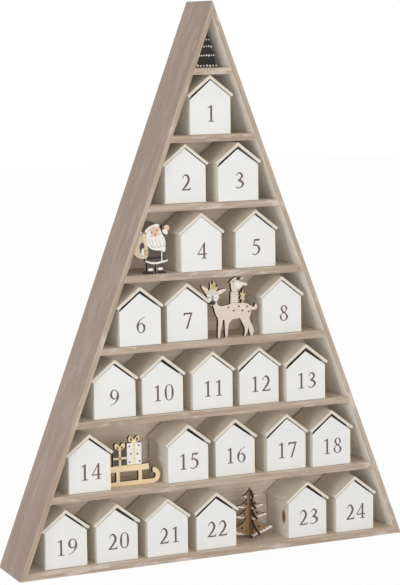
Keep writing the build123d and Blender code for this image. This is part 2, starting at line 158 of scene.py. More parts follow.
class Graph:
    """A node graph: any node by its type, its settings and its socket values."""

    def __init__(self, tree):
        self.tree = tree

    def node(self, kind, settings=None, sockets=None, output=0):
        made = self.tree.nodes.new(kind)
        for name, value in (settings or {}).items():
            setattr(made, name, value)
        self.plug(made, sockets or {})
        return Wire(self, made.outputs[output])

    def plug(self, made, sockets):
        for name, value in sockets.items():
            if isinstance(value, Wire):
                self.tree.links.new(value.socket, made.inputs[name])
            else:
                made.inputs[name].default_value = value

    def mix(self, share, *colours):
        """From the first colour to the second one, each of them a wire or a screen colour."""
        first, second = [c if isinstance(c, Wire) else tint(*c) for c in colours]
        return self.node(
            "ShaderNodeMix", {"data_type": "RGBA"}, {0: share, 6: first, 7: second}, output=2
        )

    def noise(self, vector, detail=2.0, roughness=0.5):
        sockets = {"Vector": vector, "Scale": 1.0, "Detail": detail, "Roughness": roughness}
        return self.node("ShaderNodeTexNoise", {}, sockets)

    def object_noise(self, scale, detail=2.0):
        """Noise in object coordinates, with a scale for each axis."""
        place = self.node("ShaderNodeTexCoord", output="Object")
        return self.noise(self.node("ShaderNodeMapping", {}, {"Vector": place, "Scale": scale}), detail)

    def seen_directly(self):
        """1 where the camera, a mirror image or a view through glass meets the surface."""
        rays = ("Is Camera Ray", "Is Glossy Ray", "Is Transmission Ray")
        first, second, third = [self.node("ShaderNodeLightPath", output=ray) for ray in rays]
        return (first + second + third).kept()

    def show(self, shader):
        outputs = [node for node in self.tree.nodes if node.bl_idname.startswith("ShaderNodeOutput")]
        self.plug(outputs[0], {"Surface": shader})


print("a mid grey of 128 is", round(tint(128, 128, 128)[0], 3), "in linear light")

# %% [markdown]
# A finish is such a graph with a Principled shader in it. Wood grain runs along a board, so a
# pattern in plain object coordinates would cut across the slanted sides. Each board carries its own
# coordinates instead, in an attribute called "sheet": how far a point lies along the grain, across
# it, and through the board's thickness. The noise is then drawn out along the grain, and the
# thickness tells a plywood edge from its face.

# %% Finishes with a grain
class Finish(Graph):
    """A material with a Principled shader."""

    def __init__(self, name):
        self.material = bpy.data.materials.new(name)
        self.material.use_nodes = True
        super().__init__(self.material.node_tree)
        self.shader = self.tree.nodes["Principled BSDF"]

    def set(self, **sockets):
        self.plug(self.shader, {name.replace("_", " "): value for name, value in sockets.items()})

    def bump(self, height, distance, strength):
        sockets = {"Height": height, "Distance": distance, "Strength": strength}
        self.set(Normal=self.node("ShaderNodeBump", {}, sockets))


class BoardFinish(Finish):
    """A finish that follows a board's own coordinates: along, across and through it."""

    def __init__(self, name):
        super().__init__(name)
        sheet = self.node("ShaderNodeAttribute", {"attribute_name": "sheet"}, output="Vector")
        self.axes = [self.node("ShaderNodeSeparateXYZ", {}, {0: sheet}, output=i) for i in range(3)]

    def grain(self, along, across, detail=2.0, roughness=0.5):
        """Noise with one scale along the grain and another across it."""
        x, y, z = self.axes
        sockets = {"X": x * along, "Y": y * across, "Z": z * across}
        return self.noise(self.node("ShaderNodeCombineXYZ", {}, sockets), detail, roughness)


# %% [markdown]
# The shelf is solid wood with a thin grey-brown stain that is wiped off again. The stain stays in
# the pores and the soft grain, so the boards show fine darker streaks, slow changes of tone and
# a chalky bloom. The sawn front edges took less stain and look warmer, the shelves and the back are
# washed thinly, and the side panels' inner faces are nearly white. One recipe mixes all four.

# %% Washed wood
CHALK = (232, 226, 218)


def washed_wood(name, dark, middle, pale, bloom):
    finish = BoardFinish(name)
    streaks = finish.grain(14, 520, detail=4, roughness=0.6)
    bands = finish.grain(3.5, 60)
    pores = finish.grain(70, 2100, detail=1)
    chalk = finish.grain(22, 90, detail=4, roughness=0.65)
    tone = streaks * 0.75 + bands * 0.25
    colour = finish.mix(tone.rise(0.34, 4.5), dark, middle)
    colour = finish.mix(tone.rise(0.5, 4.5), colour, pale)
    colour = finish.mix(pores.rise(0.6, 6.0, most=0.35), colour, dark)
    colour = finish.mix(chalk.rise(0.54, 5.0, most=bloom), colour, CHALK)
    finish.set(Base_Color=colour, Roughness=0.66 + streaks * 0.22)
    finish.bump(streaks * 0.7 - pores * 0.5, distance=0.25 * MM, strength=0.16)
    return finish.material


stained = washed_wood("grey_wash", (157, 139, 128), (171, 153, 142), (181, 165, 155), bloom=0.1)
stained_edge = washed_wood("edge_wash", (162, 143, 124), (184, 167, 149), (201, 188, 172), bloom=0.4)
warm_wash = washed_wood("warm_wash", (212, 196, 176), (223, 209, 191), (232, 222, 208), bloom=0.3)
white_wash = washed_wood("white_wash", (229, 221, 211), (241, 236, 228), (247, 244, 239), bloom=0.5)
print("stains:", stained.name, stained_edge.name, warm_wash.name, white_wash.name)

# %% [markdown]
# The houses are three-ply sheet: two thin outer layers with the grain along the board and a core
# whose grain runs across. On a face only the outer layer shows. On a sawn edge the thickness
# coordinate runs through all three, so the darker core appears as a line between two pale ones.

# %% Plywood
PLY = 3.0 * MM
CORE_FROM, CORE_TO = 0.36, 0.64
CORE_STEEPNESS = 24.0


def plywood(name, pale, warm, core, thickness):
    finish = BoardFinish(name)
    grain = finish.grain(18, 380, detail=3, roughness=0.6)
    cloud = finish.grain(14, 45)
    fibres = finish.grain(420, 900)
    colour = finish.mix((grain * 0.6 + cloud * 0.4).rise(0.36, 3.4), warm, pale)
    through = finish.axes[2] / thickness
    inside = through.rise(CORE_FROM, CORE_STEEPNESS) * ((CORE_TO - through) * CORE_STEEPNESS).kept()
    colour = finish.mix(inside * (0.45 + fibres * 0.5).kept(), colour, core)
    finish.set(Base_Color=colour, Roughness=0.62 + grain * 0.2)
    finish.bump(grain * 0.6 + fibres * 0.4, distance=0.15 * MM, strength=0.2)
    return finish.material


birch = plywood("birch_ply", (236, 231, 222), (227, 218, 204), (212, 194, 168), PLY)
print("plywood:", birch.name)

# %% [markdown]
# The drawer fronts are rolled with matt white wall paint. The roller leaves a fine stipple, and the
# grain below still shows as shallow lines. The numbers are printed in a thin brown-grey ink.

# %% Paint and ink
BRUSH_SCALE = (260, 260, 1300)


def rolled_paint(name, colour, shade):
    finish = BoardFinish(name)
    stipple = finish.grain(1400, 1400)
    grain = finish.grain(25, 420)
    cloud = finish.grain(30, 40, detail=1)
    coat = (cloud * 0.6 + grain * 0.4).rise(0.35, 3.0)
    finish.set(Base_Color=finish.mix(coat, shade, colour), Roughness=0.58 + stipple * 0.18)
    finish.bump(stipple * 0.7 + grain * 0.3, distance=0.08 * MM, strength=0.12)
    return finish.material


def brushed_paint(name, colour, shade):
    """Thin craft paint: brush marks and a slightly uneven coat."""
    finish = Finish(name)
    marks = finish.object_noise(BRUSH_SCALE, detail=3)
    finish.set(
        Base_Color=finish.mix(marks.rise(0.34, 3.2), shade, colour),
        Roughness=0.6 + marks * 0.25,
    )
    finish.bump(marks, distance=0.08 * MM, strength=0.2)
    return finish.material


white_front = rolled_paint("white_front", (235, 237, 235), (231, 233, 231))
ink = brushed_paint("number_ink", (114, 91, 88), (98, 77, 74))
print("paints:", white_front.name, ink.name)

# %% [markdown]
# The ornaments are cut from one thin sheet by a laser, which burns the cut edge nearly black, and
# are then painted by hand in a few flat colours. Bare or stained sheet has the faint grain of ply.
# The paints are the brushed recipe in other tones, each as a full coat and a thin one.

# %% Ornament sheets and paints
SHEET = 4 * MM
sheet_tones = {
    "pale_sheet": ((227, 216, 203), (219, 205, 190)),
    "yellow_sheet": ((244, 225, 188), (236, 209, 165)),
    "bare_edge": ((247, 236, 216), (240, 226, 202)),
    "brown_sheet": ((172, 142, 106), (136, 108, 78)),
    "dark_sheet": ((50, 42, 39), (34, 29, 27)),
}
sheets = {name: plywood(name, pale, warm, warm, SHEET) for name, (pale, warm) in sheet_tones.items()}
paint_tones = {
    "scorched_edge": ((56, 43, 36), (28, 22, 20)),
    "coat_paint": ((92, 81, 77), (72, 63, 59)),
    "snow_paint": ((246, 244, 240), (234, 230, 223)),
    "skin_paint": ((238, 205, 180), (229, 190, 162)),
    "hand_paint": ((212, 176, 146), (196, 158, 128)),
    "nose_paint": ((196, 124, 108), (178, 106, 92)),
    "sack_paint": ((224, 208, 183), (208, 189, 160)),
    "boot_paint": ((54, 44, 40), (38, 31, 28)),
    "gold_paint": ((213, 194, 134), (187, 166, 104)),
    "blush_paint": ((236, 208, 190), (225, 193, 173)),
    "ear_paint": ((238, 221, 209), (229, 208, 195)),
    "cream_paint": ((242, 227, 194), (228, 207, 168)),
    "slate_paint": ((64, 62, 70), (46, 45, 52)),
    "spot_paint": ((108, 88, 74), (88, 70, 58)),
    "line_paint": ((216, 212, 206), (204, 199, 192)),
    "brow_paint": ((220, 215, 200), (209, 203, 187)),
    "shade_paint": ((160, 158, 153), (143, 141, 136)),
    "stripe_paint": ((184, 160, 132), (164, 138, 110)),
}
paints = {name: brushed_paint(name, *tones) for name, tones in paint_tones.items()}
print("sheets:", ", ".join(sheets))
print("ornament paints:", ", ".join(paints))

# %% [markdown]
# The nails that hold the back panel are plain bright steel with a faint drawn sheen. The model
# already gives their shape, so they only need a finish, in object coordinates.

# %% Nail steel
STEEL_SCALE = (900, 900, 900)


def drawn_steel(name):
    finish = Finish(name)
    spots = finish.object_noise(STEEL_SCALE)
    finish.set(
        Base_Color=finish.mix(spots, (150, 148, 145), (186, 184, 180)),
        Metallic=1.0,
        Roughness=0.3 + spots * 0.2,
    )
    return finish.material


nail_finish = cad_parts["back_panel_nails"].data.materials
nail_finish.clear()
nail_finish.append(drawn_steel("nail_steel"))
print("nails:", nail_finish[0].name)

# %% [markdown]
# A board is an outline that is pulled to a thickness. bmesh does that with one face, one extrusion
# and a bevel on all edges, because no sawn board has a knife-sharp edge. After that the points get
# their sheet coordinates: the grain's direction is given, and the thickness starts at zero.

# %% A board from its outline
EASE_STEPS = 2
SIDEWAYS, INWARDS, UPWARDS = (1, 0, 0), (0, 1, 0), (0, 0, 1)


def ease(bm, edges, width, steps):
    """A small bevel along some edges."""
    bmesh.ops.bevel(
        bm, geom=edges, offset=width, offset_type="OFFSET", affect="EDGES",
        segments=steps, profile=0.5, material=-1,
    )


def pulled_board(outline, front, back, ease_width):
    """An outline in the X-Z plane, pulled along Y, with eased edges."""
    bm = bmesh.new()
    face = bm.faces.new([bm.verts.new((x, front, z)) for x, z in outline])
    pulled = bmesh.ops.extrude_face_region(bm, geom=[face])
    moved = [item for item in pulled["geom"] if isinstance(item, bmesh.types.BMVert)]
    bmesh.ops.translate(bm, vec=(0, back - front, 0), verts=moved)
    bmesh.ops.recalc_face_normals(bm, faces=bm.faces)
    ease(bm, bm.edges[:], ease_width, EASE_STEPS)
    return bm


def lay_grain(bm, along, across, start=0, start_across=0):
    """Sheet coordinates: along and across the grain, and through the board."""
    along, across = Vector(along).normalized(), Vector(across).normalized()
    through = along.cross(across)
    sheet = bm.verts.layers.float_vector.new("sheet")
    low = min(v.co.dot(through) for v in bm.verts)
    for v in bm.verts:
        v[sheet] = (
            v.co.dot(along) + start, v.co.dot(across) + start_across, v.co.dot(through) - low,
        )


print("sawn edges are eased in", EASE_STEPS, "steps")

# %% [markdown]
# A finished mesh becomes an object that rides on one of the model's bodies, and the model's nodes
# that it stands for are hidden. Several boards can be joined in one mesh first.

# %% Pieces from meshes
def joined(boards):
    """Several meshes in one."""
    whole = bmesh.new()
    for bm in boards:
        part = bpy.data.meshes.new("board")
        bm.to_mesh(part)
        bm.free()
        whole.from_mesh(part)
        bpy.data.meshes.remove(part)
    return whole


def move(bm, way):
    bmesh.ops.translate(bm, vec=way, verts=bm.verts)


def meshed(name, bm, materials):
    """An object from a mesh and its materials."""
    mesh = bpy.data.meshes.new(name)
    bm.to_mesh(mesh)
    bm.free()
    for material in materials:
        mesh.materials.append(material)
    return placed(name, mesh)


def piece(name, bm, materials, body, slot, *nodes):
    """A finished piece that rides on a body and stands for CAD nodes."""
    made = meshed(name, bm, materials)
    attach(made, body)
    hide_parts(*nodes)


# %% [markdown]
# The shelf is five kinds of boards. Two side panels run from the floor to the apex and meet there
# in a mitre, the base board and seven shelves fit between them with slanted ends, and a thin sheet
# closes the back. All their sizes come from the boxes of the CAD nodes, so nothing is typed twice.

# %% Sizes of the shelf
def size_of(node):
    low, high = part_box(node)
    return high - low


base_low, base_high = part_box("base_board")
panel_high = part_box("back_panel")[1]
front_y, panel_y = base_low.y, base_high.y
outer_half, outer_apex = panel_high.x, panel_high.z
inner_half = base_high.x
lean = outer_half / outer_apex
inner_apex = inner_half / lean
shelf_thickness = size_of("base_board").z
first_of_row = ["house_14", "house_09", "house_06", "house_04", "house_02", "house_01"]
shelf_tops = [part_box(house + "_shell")[0].z for house in first_of_row]
shelf_tops.append(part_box("top_tree")[0].z)
print("shelf tops in mm:", [round(z / MM, 1) for z in shelf_tops])

# %% [markdown]
# Every board is an outline pulled from the front back to the panel. The grain runs along the board,
# and each board starts at another place on the sheet, so no two look alike. The faces are told
# apart by their normals: sawn edges at the front, faces inside the shelf, and the rest.

# %% Shelf boards
BOARD_EASE = 0.5 * MM
SIDE_GRAIN = 0.7
SHELF_GRAIN = 3.1
# How far a face's normal has to point one way: mostly, nearly all of it, or squarely
MOSTLY, NEARLY, SQUARELY = 0.5, 0.9, 0.98


def inside_half(z):
    return (inner_apex - z) * lean


def stain_faces(bm, is_inside):
    """Sawn edges at the front take the second material, and faces inside the shelf the third."""
    for face in bm.faces:
        if face.normal.y < -NEARLY:
            face.material_index = 1
        elif is_inside(face.normal):
            face.material_index = 2


def side_panel(side):
    outline = [(side * outer_half, 0), (0, outer_apex), (0, inner_apex), (side * inner_half, 0)]
    bm = pulled_board(outline, front_y, panel_y, BOARD_EASE)
    lay_grain(bm, (-side * lean, 0, 1), INWARDS, SIDE_GRAIN * side)
    stain_faces(bm, lambda normal: normal.x * side < -MOSTLY)
    return bm


def shelf(top, is_inside=lambda normal: True):
    bottom = top - shelf_thickness
    outline = [
        (-inside_half(bottom), bottom), (inside_half(bottom), bottom),
        (inside_half(top), top), (-inside_half(top), top),
    ]
    bm = pulled_board(outline, front_y, panel_y, BOARD_EASE)
    lay_grain(bm, SIDEWAYS, INWARDS, SHELF_GRAIN * top / shelf_thickness, top)
    stain_faces(bm, is_inside)
    return bm


side_woods = [stained, stained_edge, white_wash]
shelf_woods = [stained, stained_edge, warm_wash]
for side, name in ((-1, "left_side"), (1, "right_side")):
    piece(name + "_board", side_panel(side), side_woods, "frame", "washed_wood", name + "_panel")
foot = shelf(shelf_thickness, lambda normal: normal.z > MOSTLY)
piece("foot_board", foot, shelf_woods, "frame", "washed_wood", "base_board")
shelves = joined([shelf(top) for top in shelf_tops])
piece("shelf_boards", shelves, shelf_woods, "frame", "washed_wood", "shelves")
print("boards of the shelf:", len(shelf_tops) + 3)

# %% [markdown]
# The back panel keeps its CAD shape, with the sunk holes of its nails. A copy of its mesh is merged
# first, because a CAD mesh is loose triangles, and gets sheet coordinates for its level grain. Its
# sawn rim was stained with the side panels.

# %% Back panel
MERGE_WITHIN = 0.001 * MM
FLAT_WITHIN = math.radians(1)


def node_copy(node):
    """The merged mesh of a CAD node."""
    bm = bmesh.new()
    bm.from_mesh(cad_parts[node].data)
    bmesh.ops.remove_doubles(bm, verts=bm.verts, dist=MERGE_WITHIN)
    bmesh.ops.dissolve_limit(bm, angle_limit=FLAT_WITHIN, verts=bm.verts, edges=bm.edges)
    return bm


back = node_copy("back_panel")
lay_grain(back, SIDEWAYS, UPWARDS)
for face in back.faces:
    face.material_index = 1 if abs(face.normal.y) < MOSTLY else 0
print("faces of the back panel:", len(back.faces))
piece("back_sheet", back, [warm_wash, stained], "frame", "back_board", "back_panel")

# %% [markdown]
# A house is a shell of six plywood boards, open at the front: floor, two walls, back and two roof
# boards that meet at the ridge. All twenty-four are alike, so the sizes come from the first one.

# %% Sizes of a house
WALL = PLY
ROOF = PLY
FRONT_THICKNESS = 3.4 * MM
FRONT_RECESS = 0.6 * MM
STOP_GAP = 0.3 * MM
SHOULDER = 39.3 * MM

shell_size = size_of("house_01_shell")
shell_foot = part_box("house_01_shell")[0].z
drawer_low, drawer_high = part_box("house_01_drawer")
half_wide = size_of("house_01_drawer").x / 2
depth = shell_size.y
half_span = shell_size.x / 2
ridge_top = shell_size.z
peak = drawer_high.z - shell_foot
front_foot = drawer_low.z - shell_foot
slope = (peak - SHOULDER) / half_wide
pitch = math.atan(slope)
ridge_under = ridge_top - ROOF / math.cos(pitch)
eaves_half = half_span - ROOF * math.sin(pitch)
front_back = FRONT_RECESS + FRONT_THICKNESS
walls_front = front_back + STOP_GAP
print("roof pitch:", round(math.degrees(pitch), 1), "degrees")

# %% [markdown]
# Each board of the shell is an outline, two depths, and the directions along and across its grain.
# The list is only a plan: every house gets its boards from it. Each board lies on another patch of
# the sheet.

# %% Shell of a house
def under_roof(x):
    return ridge_under - abs(x) * slope


def box_outline(left, right, bottom, top):
    return [(left, bottom), (right, bottom), (right, top), (left, top)]


def mirrored(outline):
    return [(-x, z) for x, z in outline]


inner = half_wide - WALL
wall_top = under_roof(inner)
eaves = under_roof(eaves_half)
house_floor = box_outline(-inner, inner, 0, WALL)
wall = [(inner, 0), (half_wide, 0), (half_wide, under_roof(half_wide)), (inner, wall_top)]
gable = [(-inner, WALL), (inner, WALL), (inner, wall_top), (0, ridge_under), (-inner, wall_top)]
eaves_top = eaves + ROOF * math.cos(pitch)
roof = [(0, ridge_under), (eaves_half, eaves), (half_span, eaves_top), (0, ridge_top)]
shell_plan = [
    (house_floor, walls_front, depth, INWARDS, SIDEWAYS),
    (wall, walls_front, depth, INWARDS, UPWARDS),
    (mirrored(wall), walls_front, depth, INWARDS, UPWARDS),
    (gable, depth - WALL, depth, SIDEWAYS, UPWARDS),
    (roof, 0, depth, INWARDS, (1, 0, -slope)),
    (mirrored(roof), 0, depth, INWARDS, (-1, 0, -slope)),
]
print("boards of a shell:", len(shell_plan))

# %% [markdown]
# The drawer is an open box of thinner ply behind the painted front: two sides, a back and a floor.
# It runs on the house's floor with a little room all round.

# %% Box of a drawer
DRAWER_WALL = 2.5 * MM
DRAWER_SIDE = 28.0 * MM
DRAWER_FLOOR_GAP = 0.3 * MM
DRAWER_SIDE_GAP = 0.5 * MM
DRAWER_BACK_GAP = 0.8 * MM

box_outer = inner - DRAWER_SIDE_GAP
box_inner = box_outer - DRAWER_WALL
box_low = WALL + DRAWER_FLOOR_GAP
box_top = box_low + DRAWER_SIDE
box_end = depth - WALL - DRAWER_BACK_GAP
box_back = box_end - DRAWER_WALL
drawer_side = box_outline(-box_outer, -box_inner, box_low, box_top)
drawer_back = box_outline(-box_inner, box_inner, box_low, box_top)
drawer_floor = box_outline(-box_inner, box_inner, box_low, box_low + DRAWER_WALL)
drawer_plan = [
    (drawer_side, front_back, box_end, INWARDS, UPWARDS),
    (box_outline(box_inner, box_outer, box_low, box_top), front_back, box_end, INWARDS, UPWARDS),
    (drawer_back, box_back, box_end, SIDEWAYS, UPWARDS),
    (drawer_floor, front_back, box_back, INWARDS, SIDEWAYS),
]
print("boards of a drawer's box:", len(drawer_plan))

# %% [markdown]
# The front's face and its left edge are painted. The paint stops just short of the right edge, which
# stays bare as a thin cream line, so a cut through the mesh parts the two. The slanted top edges are
# dark: partly the burn of the laser cut, and partly painted shade for the gap under the roof.

# %% Painted front
FRONT_EASE = 0.5 * MM
BARE_STRIP = 1.3 * MM
GRAIN_PATCH = 0.1
FRONT_PATCH = 7
SLANTED = 0.3


def painted_front(fit):
    left, aside, top, right = [offset * MM for offset in fit]
    outline = [
        (-half_wide, front_foot), (half_wide, front_foot), (half_wide, SHOULDER + right),
        (aside, peak + top), (-half_wide, SHOULDER + left),
    ]
    bm = pulled_board(outline, FRONT_RECESS, front_back, FRONT_EASE)
    bare_from = half_wide - BARE_STRIP
    everything = bm.verts[:] + bm.edges[:] + bm.faces[:]
    bmesh.ops.bisect_plane(bm, geom=everything, plane_co=(bare_from, 0, 0), plane_no=SIDEWAYS)
    lay_grain(bm, SIDEWAYS, UPWARDS, FRONT_PATCH * GRAIN_PATCH)
    for face in bm.faces:
        facing = face.normal
        # Slanted top edges: laser burn, and painted shade for the dark gap under the roof
        if facing.z > SLANTED and facing.y > -MOSTLY:
            face.material_index = 2
        elif facing.y < MOSTLY:
            face.material_index = 1 if face.calc_center_median().x < bare_from else 3
    return bm


front_finishes = [birch, white_front, paints["scorched_edge"], sheets["bare_edge"]]
print("finishes of a front:", [material.name for material in front_finishes])

# %% [markdown]
# Each front was cut and sanded by eye, so the dark gap under the roof differs from house to house.
# A few kinds of cut are named and handed out to the houses. A house without one has no gap.

# %% Cuts of the fronts
# How a front differs from its pattern, in millimetres: its left shoulder up, its peak to the right
# and up, its right shoulder up
GAP_LEFT = (-1.5, 0.3, 0.2, 0.8)
GAP_RIGHT = (1.2, -1.3, 0.2, -0.3)
GAP_WIDE = (1.0, -2.1, -0.6, -0.6)
GAP_BOTH = (-1.2, -0.7, -1.3, -0.4)
GAP_SLIM = (1.2, -0.7, 0.7, 0.3)
GAP_OPEN = (-2.0, -0.7, -2.2, -0.6)
GAP_NONE = (1.2, 0.0, 1.2, 1.2)
front_fits = {
    1: GAP_LEFT, 2: GAP_SLIM, 3: GAP_BOTH, 5: GAP_RIGHT, 6: GAP_BOTH, 7: GAP_RIGHT, 8: GAP_SLIM,
    9: GAP_RIGHT, 10: GAP_WIDE, 11: GAP_SLIM, 12: GAP_LEFT, 13: GAP_OPEN, 14: GAP_RIGHT, 15: GAP_WIDE,
    16: GAP_WIDE, 17: GAP_LEFT, 18: GAP_BOTH, 19: GAP_RIGHT, 20: GAP_WIDE,
    22: GAP_BOTH, 23: GAP_WIDE, 24: GAP_RIGHT,
}
print("fronts with a gap:", len(front_fits))

# %% [markdown]
# Every house is built at the origin and carried to its place. Each one also shifts its sheet
# coordinates, so that no two houses show the same grain.

# %% Place the houses
PLY_EASE = 0.22 * MM
HOUSE_COUNT = 24
HOUSES = range(1, HOUSE_COUNT + 1)
GRAIN_STEP_ALONG, GRAIN_STEP_ACROSS = 1.7, 0.31
DRAWER_STEP = 0.5
SHELL_PATCH, DRAWER_PATCH = 1, 8


def ply_boards(plan, first_patch):
    """The boards of a plan, each from another patch of the sheet."""
    made = []
    for patch, (outline, front, back, along, across) in enumerate(plan, start=first_patch):
        bm = pulled_board(outline, front, back, PLY_EASE)
        lay_grain(bm, along, across, patch * GRAIN_PATCH)
        made.append(bm)
    return made


def carried(bm, place, step):
    """A mesh moved to its place, with its grain shifted."""
    move(bm, place)
    sheet = bm.verts.layers.float_vector["sheet"]
    for v in bm.verts:
        v[sheet] += Vector((GRAIN_STEP_ALONG * step, GRAIN_STEP_ACROSS * step, 0))
    return bm


def house_place(number):
    low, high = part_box(f"house_{number:02d}_shell")
    return Vector(((low.x + high.x) / 2, low.y, low.z))


for number in HOUSES:
    house = f"house_{number:02d}"
    drawer = f"drawer_{number:02d}"
    place = house_place(number)
    shell = carried(joined(ply_boards(shell_plan, SHELL_PATCH)), place, number)
    piece(house + "_boards", shell, [birch], house, "plywood", house + "_shell")
    front = painted_front(front_fits.get(number, GAP_NONE))
    box = joined([front, *ply_boards(drawer_plan, DRAWER_PATCH)])
    box = carried(box, place, number + DRAWER_STEP)
    piece(drawer + "_boards", box, front_finishes, drawer, "white_paint", house + "_drawer")
print("houses:", HOUSE_COUNT)

# %% [markdown]
# The numbers are upright figures with thick and thin strokes and small feet. Each figure is a flat
# outline on a grid a hundred units high. A closed Bezier curve fills it, with smooth handles where
# the outline swings and straight ones at its corners, and a second outline inside cuts a hole.

# %% Figures of the numbers
GRID_WIDE, GRID_TALL = 58, 100


def straight(*points):
    """Corners of an outline."""
    return [(x, y, "VECTOR") for x, y in points]


def smooth(*points):
    """Points where an outline swings."""
    return [(x, y, "AUTO") for x, y in points]


def turned_over(contours):
    return [[(GRID_WIDE - x, GRID_TALL - y, kind) for x, y, kind in points] for points in contours]


six = [
    straight((51, 100)) + smooth((17, 76), (2, 37), (29, -1), (56, 31), (34, 61))
    + straight((16, 53)) + smooth((27, 79)) + straight((52, 96)),
    smooth((29, 4), (43, 29), (29, 54), (14, 34)),
]
figure_outlines = {
    "0": [
        smooth((29, -1), (57, 50), (29, 101), (1, 50)),
        smooth((29, 4), (44, 50), (29, 96), (14, 50)),
    ],
    "1": [
        straight((11, 0), (49, 0), (49, 3.5), (36, 6.5), (36, 101), (32, 101), (9, 89), (10, 85),
                 (24, 88), (24, 6.5), (11, 3.5)),
    ],
    "2": [
        straight((2, 0), (53, 0), (58, 18), (54, 18), (47, 9), (17, 9))
        + smooth((38, 33), (50, 57), (51, 75), (28, 101)) + straight((4, 75), (9, 74))
        + smooth((24, 91), (38, 72), (35, 54), (19, 27)) + straight((2, 4)),
    ],
    "3": [
        straight((6, 82)) + smooth((28, 101), (49, 78)) + straight((35, 54))
        + smooth((55, 28), (23, -1)) + straight((2, 6), (4, 12)) + smooth((23, 5), (41, 27))
        + straight((17, 47), (17, 52)) + smooth((36, 75), (25, 92)) + straight((10, 79)),
    ],
    "4": [
        straight((24, 0), (57, 0), (57, 3.5), (47, 6), (47, 25), (60, 25), (60, 32), (47, 32),
                 (47, 101), (41, 101), (1, 31), (1, 25), (35, 25), (35, 6), (24, 3.5)),
        straight((8, 32), (35, 32), (35, 80)),
    ],
    "5": [
        straight((14, 100), (51, 101), (48, 89), (20, 89), (17, 65))
        + smooth((29, 67), (54, 35), (22, -1)) + straight((2, 6), (4, 12))
        + smooth((22, 5), (40, 33), (25, 58)) + straight((9, 54)),
    ],
    "6": six,
    "7": [
        straight((3, 100), (56, 100), (56, 97), (27, 0), (15, 0), (44, 89), (12, 89), (6, 80), (2, 80)),
    ],
    "8": [
        smooth((29, 101), (8, 78), (18, 54), (2, 26), (28, -1), (56, 26), (40, 53), (51, 79)),
        smooth((29, 96), (40, 79), (34, 59), (20, 78)),
        smooth((28, 4), (43, 22), (25, 48), (13, 26)),
    ],
    "9": turned_over(six),
}
print("figures:", "".join(figure_outlines))

# %% [markdown]
# A flat curve becomes a mesh before it is placed. Blender fills the outlines, gives them a hair of
# thickness, and the mesh is then stood up so that it faces the front.

# %% Filled outlines
CURVE_STEPS = 8
CURVE_MERGE_WITHIN = 0.0005 * MM


def filled(contours, thickness, unit=1.0):
    """A thin plate in the X-Z plane from closed outlines, its back on the plane Y = 0."""
    curve = bpy.data.curves.new("outline", "CURVE")
    curve.dimensions = "2D"
    curve.fill_mode = "BOTH"
    curve.resolution_u = CURVE_STEPS
    curve.extrude = thickness / 2
    for points in contours:
        spline = curve.splines.new("BEZIER")
        spline.bezier_points.add(len(points) - 1)
        spline.use_cyclic_u = True
        for knot, (x, y, kind) in zip(spline.bezier_points, points):
            knot.co = (x * unit, y * unit, 0)
            knot.handle_left_type = knot.handle_right_type = kind
    holder = placed("outline", curve)
    bpy.context.view_layer.update()
    mesh = bpy.data.meshes.new_from_object(holder.evaluated_get(bpy.context.evaluated_depsgraph_get()))
    bpy.data.objects.remove(holder)
    bpy.data.curves.remove(curve)
    bm = bmesh.new()
    bm.from_mesh(mesh)
    bpy.data.meshes.remove(mesh)
    bmesh.ops.remove_doubles(bm, verts=bm.verts, dist=CURVE_MERGE_WITHIN)
    bmesh.ops.rotate(bm, verts=bm.verts, matrix=Matrix.Rotation(math.pi / 2, 3, "X"))
    move(bm, (0, -thickness / 2, 0))
    bmesh.ops.recalc_face_normals(bm, faces=bm.faces)
    return bm


print("steps between two points of an outline:", CURVE_STEPS)

# %% [markdown]
# A number stands in the middle of its front, one or two figures side by side. The printer wasn't
# exact, so a few of them sit a little to one side.

# %% Numbers on the fronts
FIGURE_HEIGHT = 17.2 * MM
FIGURE_STRETCH = 1.1
FIGURE_ADVANCE = 13.3 * MM
FIGURE_FOOT = 13.9 * MM
FIGURE_ASIDE = 0.6 * MM
INK_THICKNESS = 0.06 * MM
unit = FIGURE_HEIGHT / GRID_TALL
wide_unit = unit * FIGURE_STRETCH
nudges = {3: 0.9, 8: 1.6, 9: -1.2, 12: 1.0, 20: 0.8, 21: 1.5, 23: 0.8}

for number in HOUSES:
    figures = str(number)
    outlines = []
    for index, figure in enumerate(figures):
        start = (index - (len(figures) - 1) / 2) * FIGURE_ADVANCE - GRID_WIDE / 2 * wide_unit
        start += FIGURE_ASIDE + nudges.get(number, 0) * MM
        for points in figure_outlines[figure]:
            outlines.append([
                (start + x * wide_unit, FIGURE_FOOT + y * unit, kind) for x, y, kind in points
            ])
    printed = filled(outlines, INK_THICKNESS)
    move(printed, house_place(number) + Vector((0, FRONT_RECESS, 0)))
    piece(f"number_{number:02d}", printed, [ink], f"drawer_{number:02d}", "painted_ornament")
print("numbers:", HOUSE_COUNT)

# %% [markdown]
# One wall of a house shows a brown knot, the end of a branch that the veneer cutter sliced. It is a
# thin oval patch on the wall whose colour runs in rings round its middle.

# %% Knot in a wall
KNOT_HOUSE = 23
KNOT_LONG, KNOT_WIDE = 9.0 * MM, 5.2 * MM
KNOT_FROM_FRONT = 13.0 * MM
KNOT_UP = 23.0 * MM
KNOT_SKIN = 0.04 * MM
KNOT_SIDES = 40
KNOT_RINGS = 30.0


def knot_rings():
    finish = BoardFinish("knot_rings")
    along, up = finish.axes[:2]
    place = finish.node("ShaderNodeCombineXYZ", {}, {"X": along, "Y": up})
    wobble = finish.grain(3, 3)
    reach = finish.node("ShaderNodeVectorMath", {"operation": "LENGTH"}, {0: place}, output="Value")
    reach = reach + (wobble - 0.5) * 0.3
    rings = finish.node("ShaderNodeMath", {"operation": "SINE"}, {0: reach * KNOT_RINGS}) * 0.5 + 0.5
    colour = finish.mix(rings * 0.6, (140, 100, 62), (104, 70, 42))
    colour = finish.mix(reach.rise(0.55, 2.3), colour, (222, 206, 182))
    finish.set(Base_Color=colour, Roughness=0.7)
    return finish.material


